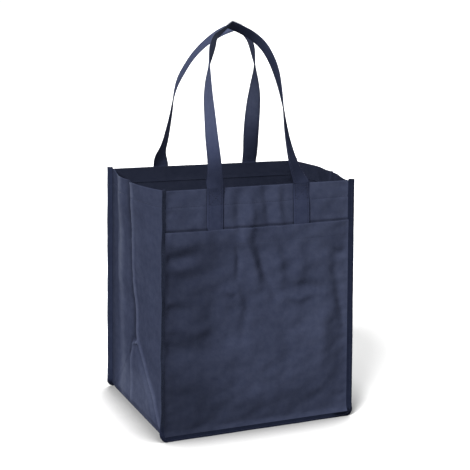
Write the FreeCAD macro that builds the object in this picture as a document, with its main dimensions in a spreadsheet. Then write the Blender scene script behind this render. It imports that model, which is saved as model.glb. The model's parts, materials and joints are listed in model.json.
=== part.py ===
"""Shopping tote bag of non-woven cloth, with two long handles, a front pocket and a base board.

The bag stands on its base with its front towards -Y, and the origin is on the floor at the
middle of the base. Lengths are in millimetres and angles in degrees.

Two flat panels are sewn to one gusset strip that runs down the left side, across the base and
up the right side. The seams stand out as fins, and a folded tape binds them. Each handle is one
long strap: its two tails lie flat on the outside of the panel, and the loop between them bends
at the rim and leans in over the mouth, where the two handles meet.
"""
import FreeCAD
import Part
import Sketcher

import math
import os

OUT_DIR = "parts"

# Driving dimensions: alias, value, what it is
SIZES = [
    ("bag_width", 330.0, "across the front, fold to fold"),
    ("bag_depth", 265.0, "gusset, front face to back face"),
    ("bag_height", 390.0, "floor to rim"),
    ("cloth", 0.6, "thickness of the non-woven cloth"),
    ("corner_radius", 4.0, "bottom corners of the panels"),
    ("hem_depth", 26.0, "folded hem round the mouth"),
    ("pocket_drop", 63.0, "rim to pocket edge"),
    ("pocket_gap", 5.8, "room inside the pocket when it is eased open"),
    ("pocket_foot", 9.0, "floor to the pocket's lowest edge"),
    ("pocket_hem", 23.0, "pocket edge to its hem thread"),
    ("fin_side", 7.0, "how far a bound seam stands out to the side"),
    ("fin_front", 7.5, "how far a bound seam stands out to the front"),
    ("tape_half", 1.4, "half the thickness of a bound seam, along either axis"),
    ("strap_width", 27.0, "width of the handle strap"),
    ("strap_thick", 1.6, "thickness of the folded strap"),
    ("strap_spacing", 159.0, "between the middles of a handle's two tails"),
    ("strap_below", 7.0, "how far a tail runs down behind the pocket edge"),
    ("fold_rise", 3.0, "rim to the line where the strap bends"),
    ("fold_gap", 0.4, "strap face to the fold line"),
    ("tail_gap", 1.5, "top of a tail to the fold line"),
    ("leg_length", 145.0, "straight leg of a handle, along its slope"),
    ("leg_taper", 4.5, "how far a leg comes in over its length"),
    ("arch_radius", 132.0, "middle of the strap, in each side of the pointed arch"),
    ("lean", 28.2, "lean of a handle from upright, over the mouth"),
    ("thread", 0.5, "thickness of a sewing thread"),
    ("thread_inset", 3.0, "strap edge to its thread"),
    ("thread_end", 2.0, "seam to the first stitch of a hem thread"),
    ("thread_clear", 0.5, "strap tail to the end of a hem thread"),
    ("tape_thread_out", 4.05, "how far the stitches on a bound seam lie to the front"),
    ("seam_clear", 0.02, "seam fold to the tape"),
    ("hem_clear", 1.8, "seam to the end of a folded hem"),
    ("pocket_inset", 1.0, "seam to the side of the pocket"),
    ("open_top", 10.0, "how far the hollow of an open piece is cut past its edge"),
    ("box_height", 21.0, "height of a box stitch"),
    ("box_below", 3.0, "rim to the top of a box stitch"),
    ("board_thick", 1.5, "base board"),
    ("board_gap", 20.0, "base board to the front and back panels, so that it clears a slack mouth"),
    ("board_side", 14.0, "base board to the outside of each gusset"),
    ("board_rest", 0.2, "base cloth to the underside of the board"),
    ("board_radius", 10.0, "corners of the base board"),
]

doc = FreeCAD.newDocument("shopping_tote_bag")
sheet = doc.addObject("Spreadsheet::Sheet", "Sizes")
for row, (alias, value, note) in enumerate(SIZES, start=1):
    sheet.set(f"A{row}", alias)
    sheet.set(f"B{row}", str(value))
    sheet.set(f"C{row}", note)
    sheet.setAlias(f"B{row}", alias)
doc.recompute()

SIZE = {alias: value for alias, value, _ in SIZES}
X_AXIS = FreeCAD.Vector(1, 0, 0)
Z_AXIS = FreeCAD.Vector(0, 0, 1)
Y_DOWN = FreeCAD.Vector(0, -1, 0)
SUB_PARTS = []


# ---------------------------------------------------------------- helpers

def sized(expression):
    """An expression over the sheet, written with the bare aliases."""
    for name in sorted(SIZE, key=len, reverse=True):
        expression = expression.replace(f"<{name}>", f"Sizes.{name}")
    return expression


def bind(thing, prop, expression):
    thing.setExpression(prop, sized(expression))


def sub_part(thing, label):
    """Registers a finished object as the sub-part that the label names."""
    thing.Label = label
    SUB_PARTS.append(thing)
    return thing


def new_body(label):
    return sub_part(doc.addObject("PartDesign::Body", label), label)


def plane_of(body, role):
    return next(f for f in body.Origin.OriginFeatures if f.Role == role)


def new_sketch(body, name, role):
    sketch = body.newObject("Sketcher::SketchObject", name)
    sketch.AttachmentSupport = [(plane_of(body, role), "")]
    sketch.MapMode = "FlatFace"
    return sketch


def point(x, y):
    return FreeCAD.Vector(x, y, 0)


def hold(sketch, kind, *where, size=None):
    """Adds a constraint, driven by the sheet when it has a size."""
    if size is None:
        sketch.addConstraint(Sketcher.Constraint(kind, *where))
        return
    index = sketch.addConstraint(Sketcher.Constraint(kind, *where, number(size)))
    bind(sketch, f"Constraints[{index}]", size)


def fix_point(sketch, edge, end, across, up):
    """Holds one end of an edge at a distance across and up from the sketch's origin."""
    for kind, size in (("DistanceX", across), ("DistanceY", up)):
        if size == "0":
            hold(sketch, "PointOnObject", edge, end, -2 if kind == "DistanceX" else -1)
        else:
            hold(sketch, kind, -1, 1, edge, end, size=size)


def number(expression):
    """The value of an expression over the sheet, to draw a sketch near its final shape."""
    for name, value in SIZE.items():
        expression = expression.replace(f"<{name}>", repr(value))
    probe = sheet.evalExpression(expression)
    return float(getattr(probe, "Value", probe))


def polygon(sketch, corners):
    """A closed outline of straight edges with every corner driven by the sheet."""
    spots = [point(number(across), number(up)) for across, up in corners]
    first = sketch.GeometryCount
    for start, end in zip(spots, spots[1:] + spots[:1]):
        sketch.addGeometry(Part.LineSegment(start, end), False)
    count = len(corners)
    for i in range(count):
        hold(sketch, "Coincident", first + i, 2, first + (i + 1) % count, 1)
    for i, (across, up) in enumerate(corners):
        fix_point(sketch, first + i, 1, across, up)


def u_outline(sketch, half, foot, top, radius, closed=True):
    """A U with round bottom corners: left side, base, right side, and a straight top if closed."""
    side, low, high, curve = number(half), number(foot), number(top), number(radius)
    left, base, right = (
        Part.LineSegment(point(-side, high), point(-side, low + curve)),
        Part.LineSegment(point(-side + curve, low), point(side - curve, low)),
        Part.LineSegment(point(side, low + curve), point(side, high)),
    )
    turns = [
        Part.ArcOfCircle(Part.Circle(point(-side + curve, low + curve), Z_AXIS, curve),
                         math.pi, 1.5 * math.pi),
        Part.ArcOfCircle(Part.Circle(point(side - curve, low + curve), Z_AXIS, curve),
                         1.5 * math.pi, 2 * math.pi),
    ]
    for edge in (left, turns[0], base, turns[1], right):
        sketch.addGeometry(edge, False)
    for edge in range(4):
        hold(sketch, "Coincident", edge, 2, edge + 1, 1)
    for arc, upright, base_end in ((1, (0, 2), 1), (3, (4, 1), 2)):
        hold(sketch, "Horizontal", *upright, arc, 3)
        hold(sketch, "Vertical", 2, base_end, arc, 3)
    hold(sketch, "Vertical", 0)
    hold(sketch, "Horizontal", 2)
    hold(sketch, "Vertical", 4)
    hold(sketch, "Equal", 1, 3)
    hold(sketch, "Radius", 1, size=radius)
    fix_point(sketch, 0, 1, f"-({half})", top)
    fix_point(sketch, 4, 2, half, top)
    if foot == "0":
        hold(sketch, "PointOnObject", 2, 1, -1)
    else:
        hold(sketch, "DistanceY", -1, 1, 2, 1, size=foot)
    if closed:
        sketch.addGeometry(Part.LineSegment(point(side, high), point(-side, high)), False)
        hold(sketch, "Coincident", 4, 2, 5, 1)
        hold(sketch, "Coincident", 5, 2, 0, 1)


def pad(body, sketch, length, name, reverse=False, middle=False):
    feature = body.newObject("PartDesign::Pad", name)
    feature.Profile = sketch
    bind(feature, "Length", length)
    feature.Reversed = reverse
    feature.Midplane = middle
    return feature


def pocket(body, sketch, length, name, reverse=False, middle=False):
    feature = body.newObject("PartDesign::Pocket", name)
    feature.Profile = sketch
    bind(feature, "Length", length)
    feature.Reversed = reverse
    feature.Midplane = middle
    return feature


def facing(side):
    """The turn about Z that faces a piece drawn towards -Y to the front or to the back."""
    return FreeCAD.Rotation(Z_AXIS, 0 if side == "front" else 180)


def towards(side, distance):
    return f"-({distance})" if side == "front" else distance


def stand_at(body, side, distance):
    """Puts a body that was drawn facing -Y on the front, or turns it round to the back."""
    body.Placement = FreeCAD.Placement(point(0, 0), facing(side))
    bind(body, "Placement.Base.y", towards(side, distance))


def box(name, low, size):
    """A plain box whose low corner and size are expressions over the sheet."""
    block = doc.addObject("Part::Box", name)
    for prop, expression in zip(("Length", "Width", "Height"), size):
        bind(block, prop, expression)
    for axis, expression in zip("xyz", low):
        bind(block, f"Placement.Base.{axis}", expression)
    return block


# ---------------------------------------------------------------- cloth

def make_panel(side):
    """A flat panel, with the hem of its top edge folded in."""
    body = new_body(f"{side}_panel")
    outline = new_sketch(body, f"{side}_panel_outline", "XZ_Plane")
    u_outline(outline, "<bag_width> / 2", "0", "<bag_height>", "<corner_radius>")
    pad(body, outline, "<cloth>", f"{side}_panel_cloth")
    fold = new_sketch(body, f"{side}_hem_outline", "XZ_Plane")
    edge = "(<bag_width> / 2 - <hem_clear>)"
    polygon(fold, [
        (f"-{edge}", "<bag_height> - <hem_depth>"),
        (edge, "<bag_height> - <hem_depth>"),
        (edge, "<bag_height>"),
        (f"-{edge}", "<bag_height>"),
    ])
    pad(body, fold, "<cloth>", f"{side}_hem_fold", reverse=True)
    stand_at(body, side, "<bag_depth> / 2 - <cloth>")


def make_gusset_strip():
    """One strip of cloth round the left side, the base and the right side, between the panels."""
    body = new_body("gusset_strip")
    outside = new_sketch(body, "gusset_outside", "XZ_Plane")
    u_outline(outside, "<bag_width> / 2", "0", "<bag_height>", "<corner_radius>")
    pad(body, outside, "<bag_depth> - 2 * <cloth>", "gusset_block", middle=True)
    inside = new_sketch(body, "gusset_inside", "XZ_Plane")
    u_outline(inside, "<bag_width> / 2 - <cloth>", "<cloth>", "<bag_height> + <open_top>",
              "<corner_radius> - <cloth>")
    pocket(body, inside, "<bag_depth>", "gusset_hollow", middle=True)
    for name, sign in (("left", "-"), ("right", "")):
        fold = new_sketch(body, f"{name}_hem_outline", "XZ_Plane")
        outer = f"{sign}(<bag_width> / 2 - <cloth>)"
        inner = f"{sign}(<bag_width> / 2 - 2 * <cloth>)"
        polygon(fold, [
            (outer, "<bag_height> - <hem_depth>"),
            (inner, "<bag_height> - <hem_depth>"),
            (inner, "<bag_height>"),
            (outer, "<bag_height>"),
        ])
        pad(body, fold, "<bag_depth> - 2 * <hem_clear>", f"{name}_hem_fold", middle=True)


def make_front_pocket():
    """A full-width pocket over the front panel, open along its top edge."""
    body = new_body("front_pocket")
    outline = new_sketch(body, "pocket_outline", "XZ_Plane")
    half = "<bag_width> / 2 - <pocket_inset>"
    u_outline(outline, half, "<pocket_foot>", "<bag_height> - <pocket_drop>", "<corner_radius>")
    pad(body, outline, "<pocket_gap> + <cloth>", "pocket_block")
    hollow = new_sketch(body, "pocket_hollow_outline", "XZ_Plane")
    u_outline(hollow, f"{half} - <cloth>", "<pocket_foot> + <cloth>",
              "<bag_height> - <pocket_drop> + <open_top>", "<corner_radius> - <cloth>")
    pocket(body, hollow, "<pocket_gap>", "pocket_hollow", reverse=True)
    stand_at(body, "front", "<bag_depth> / 2")


# ---------------------------------------------------------------- bound seams

def seam_spine(body, name):
    """The seam line: down one side of the panel, along its foot and up the other side."""
    spine = new_sketch(body, name, "XZ_Plane")
    u_outline(spine, "<bag_width> / 2", "<fin_side>", "<bag_height>", "<corner_radius>", closed=False)
    return spine


def sweep_along_seam(body, name, corners):
    """Sweeps an outline, given outwards from the seam to the side and to the front."""
    spine = seam_spine(body, f"{name}_spine")
    section = new_sketch(body, f"{name}_section", "XY_Plane")
    section.AttachmentOffset = FreeCAD.Placement(point(0, 0), FreeCAD.Rotation())
    bind(section, "AttachmentOffset.Base.z", "<bag_height>")
    polygon(section, [(f"-(<bag_width> / 2) - ({side})", f"-({front})") for side, front in corners])
    pipe = body.newObject("PartDesign::AdditivePipe", f"{name}_sweep")
    pipe.Profile = section
    pipe.Spine = spine


def make_binding(side):
    """Folded tape over the seam between a panel and the gusset strip."""
    body = new_body(f"{side}_edge_binding")
    sweep_along_seam(body, f"{side}_tape", [
        ("<seam_clear>", "<seam_clear>"),
        ("<tape_half>", "<seam_clear>"),
        ("<fin_side>", "<fin_front> - <tape_half>"),
        ("<fin_side>", "<fin_front>"),
        ("<fin_side> - <tape_half>", "<fin_front>"),
        ("<seam_clear>", "<tape_half>"),
    ])
    stand_at(body, side, "<bag_depth> / 2")


def make_binding_thread(side):
    """The row of stitches that holds the tape, on its outer face."""
    body = new_body(f"{side}_binding_thread")
    across = "(<fin_side> / 2 - <tape_half>)"
    out = "<tape_thread_out>"
    sweep_along_seam(body, f"{side}_thread", [
        (across, out),
        (f"{across} + <thread>", f"{out} + <thread>"),
        (across, f"{out} + 2 * <thread>"),
        (f"{across} - <thread>", f"{out} + <thread>"),
    ])
    stand_at(body, side, "<bag_depth> / 2")


# ---------------------------------------------------------------- handles

LEG = "(<strap_spacing> / 2)"
KNEE = "(<strap_spacing> / 2 - <leg_taper>)"
ARCH_MIDDLE = "(<strap_spacing> / 2 - <leg_taper> - <arch_radius>)"
FOLD_OUT = "(<bag_depth> / 2 + <strap_thick> + <fold_gap>)"
TAIL_TOP = "(<bag_height> + <fold_rise> - <tail_gap>)"
TAIL_FOOT = "(<bag_height> - <pocket_drop> - <strap_below>)"


def arch_rail(sketch, reach):
    """One edge of a strap that lies flat: a leg, two sides of a pointed arch and the other leg."""
    first = sketch.GeometryCount
    leg, knee, middle = number(LEG), number(KNEE), number(ARCH_MIDDLE)
    rise, out = number("<leg_length>"), number(reach)
    radius = number("<arch_radius>") + out
    apex = math.acos(-middle / radius)
    circle = [Part.Circle(point(side * middle, rise), Z_AXIS, radius) for side in (1, -1)]
    for edge in (
        Part.LineSegment(point(leg + out, 0), point(knee + out, rise)),
        Part.ArcOfCircle(circle[0], 0, apex),
        Part.ArcOfCircle(circle[1], math.pi - apex, math.pi),
        Part.LineSegment(point(-knee - out, rise), point(-leg - out, 0)),
    ):
        sketch.addGeometry(edge, False)
    fix_point(sketch, first, 1, f"{LEG} + ({reach})", "0")
    fix_point(sketch, first, 2, f"{KNEE} + ({reach})", "<leg_length>")
    fix_point(sketch, first + 3, 1, f"-({KNEE} + ({reach}))", "<leg_length>")
    fix_point(sketch, first + 3, 2, f"-({LEG} + ({reach}))", "0")
    for arc, leg_edge, leg_end, arc_end, sign in ((1, 0, 2, 1, ""), (2, 3, 1, 2, "-")):
        fix_point(sketch, first + arc, 3, f"{sign}{ARCH_MIDDLE}", "<leg_length>")
        hold(sketch, "Coincident", first + arc, arc_end, first + leg_edge, leg_end)
    hold(sketch, "Coincident", first + 1, 2, first + 2, 1)
    return first


def arch_band(sketch, inner_reach, outer_reach):
    """A closed band between two edges of the strap."""
    outer, inner = arch_rail(sketch, outer_reach), arch_rail(sketch, inner_reach)
    for outer_edge, inner_edge, end in ((outer, inner, 1), (outer + 3, inner + 3, 2)):
        feet = [sketch.getPoint(edge, end) for edge in (outer_edge, inner_edge)]
        foot = sketch.addGeometry(Part.LineSegment(*feet), False)
        hold(sketch, "Coincident", foot, 1, outer_edge, end)
        hold(sketch, "Coincident", foot, 2, inner_edge, end)


def lean_over_mouth(body, side):
    """Stands a handle on its fold line, just outside the rim, and leans it in over the mouth."""
    turn = facing(side) * FreeCAD.Rotation(X_AXIS, -SIZE["lean"])
    body.Placement = FreeCAD.Placement(point(0, 0), turn)
    bind(body, "Placement.Base.y", towards(side, FOLD_OUT))
    bind(body, "Placement.Base.z", "<bag_height> + <fold_rise>")


def make_handle_strap(side):
    """The loop of a handle, flat in its leaning plane, just inside its fold line."""
    body = new_body(f"{side}_handle_strap")
    outline = new_sketch(body, f"{side}_strap_outline", "XZ_Plane")
    bind(outline, "AttachmentOffset.Base.z", "-<fold_gap> - <strap_thick>")
    arch_band(outline, "-<strap_width> / 2", "<strap_width> / 2")
    pad(body, outline, "<strap_thick>", f"{side}_strap_cloth")
    lean_over_mouth(body, side)


def make_handle_thread(side):
    """Two rows of stitches along the edges of a handle, on its outer face."""
    body = new_body(f"{side}_handle_thread")
    body.AllowCompound = True
    outline = new_sketch(body, f"{side}_handle_thread_outline", "XZ_Plane")
    bind(outline, "AttachmentOffset.Base.z", "-<fold_gap>")
    row = "(<strap_width> / 2 - <thread_inset>)"
    arch_band(outline, f"{row} - <thread>", row)
    arch_band(outline, f"-{row}", f"<thread> - {row}")
    pad(body, outline, "<thread> / 2", f"{side}_handle_thread_rows")
    lean_over_mouth(body, side)


def outwards(side, near, thick):
    """The low Y corner of a flat piece that stands off a panel's outer face."""
    if side == "front":
        return f"-(<bag_depth> / 2) - ({near}) - ({thick})"
    return f"<bag_depth> / 2 + ({near})"


def leg_middle(hand):
    return f"-{LEG}" if hand == "left" else LEG


def make_strap_tail(side, hand):
    """The end of a handle that is sewn flat to the outside of the panel."""
    middle = leg_middle(hand)
    tail = box(
        f"{side}_tail_{hand}",
        (f"{middle} - <strap_width> / 2", outwards(side, "0", "<strap_thick>"), TAIL_FOOT),
        ("<strap_width>", "<strap_thick>", f"{TAIL_TOP} - {TAIL_FOOT}"),
    )
    sub_part(tail, f"{side}_strap_tail_{hand}")


def make_box_stitch(side, hand):
    """A box with a cross in it, sewn through a tail and the hem."""
    middle = leg_middle(hand)
    half = "(<strap_width> / 2 - <thread_inset>)"
    name = f"{side}_box_{hand}"
    across = outwards(side, "<strap_thick>", "<thread>")
    foot = "(<bag_height> - <box_below> - <box_height>)"
    threads = []
    for i, height in enumerate((foot, f"{foot} + <box_height>")):
        low = (f"{middle} - {half}", across, height)
        threads.append(box(f"{name}_row_{i}", low, (f"2 * {half} + <thread>", "<thread>", "<thread>")))
    for i, edge in enumerate((f"{middle} - {half}", f"{middle} + {half}")):
        low = (edge, across, foot)
        threads.append(box(f"{name}_side_{i}", low, ("<thread>", "<thread>", "<box_height>")))
    rise, run = number("<box_height>"), number(f"2 * {half}")
    slope = math.degrees(math.atan2(rise, run))
    length = f"sqrt(4 * {half} * {half} + <box_height> * <box_height>)"
    for i, (start, angle) in enumerate(((f"{middle} - {half}", slope),
                                        (f"{middle} + {half} + <thread>", 180 - slope))):
        cross = box(f"{name}_cross_{i}", (start, across, f"{foot} + <thread> / 2"),
                    (length, "<thread>", "<thread>"))
        cross.Placement.Rotation = FreeCAD.Rotation(Y_DOWN, angle)
        threads.append(cross)
    fused = doc.addObject("Part::MultiFuse", name)
    fused.Shapes = threads
    sub_part(fused, f"{side}_box_stitch_{hand}")


# ---------------------------------------------------------------- hem threads and board

def make_panel_hem_thread(side):
    """The stitches that hold a panel's hem, in three runs between the strap tails."""
    near, far = f"({LEG} - <strap_width> / 2 - <thread_clear>)", f"({LEG} + <strap_width> / 2 + <thread_clear>)"
    end = "(<bag_width> / 2 - <thread_end>)"
    height = "<bag_height> - <hem_depth> + <thread>"
    across = outwards(side, "0", "<thread>")
    runs = [
        box(f"{side}_hem_run_{i}", (start, across, height), (f"{stop} - ({start})", "<thread>", "<thread>"))
        for i, (start, stop) in enumerate(((f"-{end}", f"-{far}"), (f"-{near}", near), (far, end)))
    ]
    group = doc.addObject("Part::Compound", f"{side}_hem_runs")
    group.Links = runs
    sub_part(group, f"{side}_hem_thread")


def make_gusset_hem_thread(hand):
    low = "-(<bag_width> / 2) - <thread>" if hand == "left" else "<bag_width> / 2"
    half = "(<bag_depth> / 2 - <thread_end>)"
    run = box(f"{hand}_hem_run", (low, f"-{half}", "<bag_height> - <hem_depth> + <thread>"),
              ("<thread>", f"2 * {half}", "<thread>"))
    sub_part(run, f"{hand}_hem_thread")


def make_pocket_hem_thread():
    end = "(<bag_width> / 2 - <pocket_inset> - <thread_end>)"
    run = box("pocket_hem_run",
              (f"-{end}", outwards("front", "<pocket_gap> + <cloth>", "<thread>"),
               "<bag_height> - <pocket_drop> - <pocket_hem>"),
              (f"2 * {end}", "<thread>", "<thread>"))
    sub_part(run, "pocket_hem_thread")


def make_base_board():
    """The loose stiff board that keeps the base flat."""
    body = new_body("base_board")
    outline = new_sketch(body, "board_outline", "XY_Plane")
    across = "(<bag_width> / 2 - <board_side>)"
    along = "(<bag_depth> / 2 - <cloth> - <board_gap>)"
    polygon(outline, [
        (f"-{across}", f"-{along}"),
        (across, f"-{along}"),
        (across, along),
        (f"-{across}", along),
    ])
    slab = pad(body, outline, "<board_thick>", "board_slab")
    doc.recompute()
    upright = [
        f"Edge{i}" for i, edge in enumerate(slab.Shape.Edges, start=1)
        if abs(edge.tangentAt(edge.FirstParameter).z) > 0.99
    ]
    rounding = body.newObject("PartDesign::Fillet", "board_corners")
    rounding.Base = (slab, upright)
    bind(rounding, "Radius", "<board_radius>")
    bind(body, "Placement.Base.z", "<cloth> + <board_rest>")


# ---------------------------------------------------------------- build

def build():
    make_gusset_strip()
    make_front_pocket()
    make_pocket_hem_thread()
    make_base_board()
    for hand in ("left", "right"):
        make_gusset_hem_thread(hand)
    for side in ("front", "back"):
        make_panel(side)
        make_panel_hem_thread(side)
        make_binding(side)
        make_binding_thread(side)
        make_handle_strap(side)
        make_handle_thread(side)
        for hand in ("left", "right"):
            make_strap_tail(side, hand)
            make_box_stitch(side, hand)


def check():
    """Stops if any object failed, or if a sub-part isn't a sound solid."""
    doc.recompute()
    for thing in doc.Objects:
        if {"Invalid", "Error"} & set(thing.State):
            raise RuntimeError(f"{thing.Name} failed: {thing.State}")
    for thing in SUB_PARTS:
        shape = thing.Shape
        if shape.isNull() or not shape.isValid() or not shape.Solids or shape.Volume <= 0:
            raise RuntimeError(f"{thing.Label} is not a sound solid")


def export():
    os.makedirs(OUT_DIR, exist_ok=True)
    for thing in SUB_PARTS:
        thing.Shape.exportStep(os.path.join(OUT_DIR, f"{thing.Label}.step"))
        print(f"{thing.Label:24s} {thing.Shape.Volume:10.1f} mm3  {thing.Shape.BoundBox}")


build()
check()
export()
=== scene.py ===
"""Looks of a navy non-woven shopping tote bag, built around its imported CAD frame.

Every cloth piece is a curved sheet of real cloth thickness. A sheet is drawn flat on the CAD
box first, with its folds, and settle() then eases the whole box into the slack shape that the
empty bag takes, so that pieces which are sewn together stay together. Lengths are in metres.
"""

import json
import math
from functools import partial

import bpy
import numpy as np
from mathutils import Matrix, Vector


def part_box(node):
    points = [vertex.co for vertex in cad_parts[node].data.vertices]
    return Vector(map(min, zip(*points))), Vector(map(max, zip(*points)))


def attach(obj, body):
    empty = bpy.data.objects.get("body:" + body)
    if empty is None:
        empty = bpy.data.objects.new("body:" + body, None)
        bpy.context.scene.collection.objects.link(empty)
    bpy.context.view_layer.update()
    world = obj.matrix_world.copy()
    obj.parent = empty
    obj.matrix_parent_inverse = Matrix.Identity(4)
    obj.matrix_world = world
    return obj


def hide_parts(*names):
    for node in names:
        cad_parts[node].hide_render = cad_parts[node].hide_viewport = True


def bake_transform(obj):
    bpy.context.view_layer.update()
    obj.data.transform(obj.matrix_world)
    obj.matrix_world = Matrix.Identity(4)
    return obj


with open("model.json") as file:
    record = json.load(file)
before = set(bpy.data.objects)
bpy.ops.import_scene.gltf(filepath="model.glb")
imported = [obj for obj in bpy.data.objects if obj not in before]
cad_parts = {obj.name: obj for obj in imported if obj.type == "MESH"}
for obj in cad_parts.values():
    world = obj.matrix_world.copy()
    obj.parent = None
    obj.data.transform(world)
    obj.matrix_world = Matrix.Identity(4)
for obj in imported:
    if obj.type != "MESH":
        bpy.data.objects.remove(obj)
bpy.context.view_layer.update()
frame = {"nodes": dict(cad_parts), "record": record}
mm = 0.001

# ---------- sizes, from the frame


def low(node):
    """The corner of a CAD node's box with the smallest coordinates."""
    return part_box(node)[0]


def high(node):
    """The corner of a CAD node's box with the largest coordinates."""
    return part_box(node)[1]


FRONT = low("front_panel")[1]
BACK = high("back_panel")[1]
DEPTH = BACK - FRONT
HALF = high("front_panel")[0]
WIDTH = 2 * HALF
RIM = high("front_panel")[2]
POCKET_EDGE = high("front_pocket")[2]
HEM_LINE = low("front_hem_thread")[2]
HEM = RIM - HEM_LINE + 1 * mm
POCKET_HEM_LINE = low("pocket_hem_thread")[2]
TAIL = (low("front_strap_tail_left"), high("front_strap_tail_left"))
LEG = -(TAIL[0][0] + TAIL[1][0]) / 2
STRAP = TAIL[1][0] - TAIL[0][0] - 0.4 * mm
OUTWARDS = {"front": np.array([0.0, -1.0, 0.0]), "back": np.array([0.0, 1.0, 0.0])}
TAIL_MIDDLE = {
    ("front", "left"): -LEG,
    ("front", "right"): LEG - 2.5 * mm,
    ("back", "left"): -LEG - 1.5 * mm,
    ("back", "right"): LEG + 1.5 * mm,
}
JOINTS = {j["name"]: j for j in frame["record"]["behaviour"]["joints"]}
FOLD_Z = JOINTS["front_handle_swing"]["pos_m"][2]

CLOTH = 0.5 * mm
STRAP_THICK = 2.0 * mm
TAIL_LIE = 0.15 * mm  # a sewn tail's inner face to the panel
STRAP_INSET = 3 * mm  # strap edge to its row of stitches
GROOVE = 1.6 * mm  # half the width of the groove that a row of stitches presses
PITCH = 2.1 * mm  # spacing of a sheet's mesh

# ---------- how the empty bag settles

# How far each corner of the CAD box moves, to the right and to the back.
CORNER_SHIFT = {
    ("left", "front", "rim"): (16 * mm, 6 * mm),
    ("right", "front", "rim"): (-13 * mm, 3 * mm),
    ("left", "back", "rim"): (7 * mm, -1.5 * mm),
    ("right", "back", "rim"): (4.5 * mm, -18.5 * mm),
    ("left", "front", "foot"): (7 * mm, 1 * mm),
    ("right", "front", "foot"): (-10 * mm, 1 * mm),
    ("left", "back", "foot"): (-1 * mm, 1 * mm),
    ("right", "back", "foot"): (3 * mm, -2 * mm),
}
BOW = {"left": 20.5 * mm, "right": 14 * mm}  # how far each gusset's rim bows outwards
SEAM_LIFT = 6.2 * mm  # the bound seam holds the foot of each panel off the floor
FOOT_FLARE = 5.0 * mm  # the cloth turns outwards to that seam
SIDE_FLARE = 1.6 * mm  # and a little at the upright seams


def smooth(t):
    """Eases from nought to one as t goes from nought to one."""
    t = np.clip(t, 0, 1)
    return t * t * (3 - 2 * t)


def bell(offset, width):
    """One at no offset, easing to nought past a width on either side."""
    return np.exp(-(offset / width) ** 2)


def settle(points):
    """Eases points of the CAD box into the slack shape of the empty bag."""
    p = np.array(points, float).reshape(-1, 3)
    x, y, z = p.T.copy()
    across = np.clip((x + HALF) / WIDTH, 0, 1)
    back = np.clip((y - FRONT) / DEPTH, 0, 1)
    up = np.clip(z / RIM, 0, 1.02)
    move = np.zeros((len(p), 2))
    for (hand, side, level), shift in CORNER_SHIFT.items():
        share = across if hand == "right" else 1 - across
        share = share * (back if side == "back" else 1 - back)
        share = share * (up if level == "rim" else 1 - up)
        move += share[:, None] * np.array(shift)
    x, y = x + move[:, 0], y + move[:, 1]
    left, right = smooth(1 - across * 5), smooth(across * 5 - 4)
    x -= BOW["left"] * left * np.sin(np.pi * back ** 0.9) * up ** 2
    x += BOW["right"] * right * np.sin(np.pi * back ** 1.15) * up ** 2
    to_panel = np.minimum(p[:, 1] - FRONT, BACK - p[:, 1])
    to_side = HALF - np.abs(p[:, 0])
    near_panel = np.exp(-np.maximum(to_panel, 0) / (3 * mm))
    near_side = np.exp(-np.maximum(to_side, 0) / (5 * mm))
    outwards = np.where(p[:, 1] < 0, -1, 1)
    z = z + SEAM_LIFT * np.exp(-np.maximum(p[:, 2], 0) / (12 * mm)) * near_panel
    foot = FOOT_FLARE * bell(p[:, 2], 8 * mm) * np.exp(-np.maximum(to_panel, 0) / (4 * mm))
    side = SIDE_FLARE * near_side * near_panel
    y = y + outwards * (foot + side)
    x = x + np.sign(p[:, 0]) * side
    return np.stack([x, y, z], axis=1)


# ---------- folds and creases

def along(points, x, z):
    """Distance to a line of points, which side of it, and how far along it, for each place."""
    points = np.array(points, float)
    steps = np.linalg.norm(np.diff(points, axis=0), axis=1)
    starts = np.concatenate([[0], np.cumsum(steps)])
    best, side, share = np.full(x.shape, 9.0), np.zeros(x.shape), np.zeros(x.shape)
    for i, (a, b) in enumerate(zip(points[:-1], points[1:])):
        d = (b - a) / steps[i]
        t = np.clip((x - a[0]) * d[0] + (z - a[1]) * d[1], 0, steps[i])
        gap_x, gap_z = x - a[0] - d[0] * t, z - a[1] - d[1] * t
        away = np.hypot(gap_x, gap_z)
        closer = away < best
        best = np.where(closer, away, best)
        side = np.where(closer, np.sign(d[0] * gap_z - d[1] * gap_x), side)
        share = np.where(closer, (starts[i] + t) / starts[-1], share)
    return best, side, share


FOLD_GAIN = 1.25  # every fold's height is scaled by this


def ridge(points, width, height, x, z, ends=0.12):
    """A rounded fold along a line; a negative height makes a furrow."""
    away, _, share = along(points, x, z)
    fade = np.sin(np.pi * (ends + (1 - 2 * ends) * share)) ** 0.8
    return FOLD_GAIN * height * fade * bell(away, width)


WAVES = 16


def ripples(x, z, seed, shortest, longest, height):
    """Gentle unevenness of slack cloth: a few long waves in all directions."""
    draw = np.random.default_rng(seed)
    total = np.zeros(x.shape)
    for _ in range(WAVES):
        length = draw.uniform(shortest, longest)
        turn = draw.uniform(0, math.pi)
        phase = draw.uniform(0, 2 * math.pi)
        swing = 2 * math.pi / length
        total += length / longest * np.sin(swing * (x * math.cos(turn) + z * math.sin(turn)) + phase)
    return height * total / math.sqrt(WAVES)


def panel_place(share_across, share_down):
    """A place on a panel, from its left edge across and from its rim down, as shares."""
    return ((share_across - 0.5) * WIDTH, (1 - share_down) * RIM)


def folds(routes, x, z):
    """Folds of a panel, each a width and a height in mm and a route in shares of the panel."""
    total = np.zeros(np.shape(x))
    for width, height, route in routes:
        total += ridge([panel_place(*spot) for spot in route], width * mm, height * mm, x, z)
    return total


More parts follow.
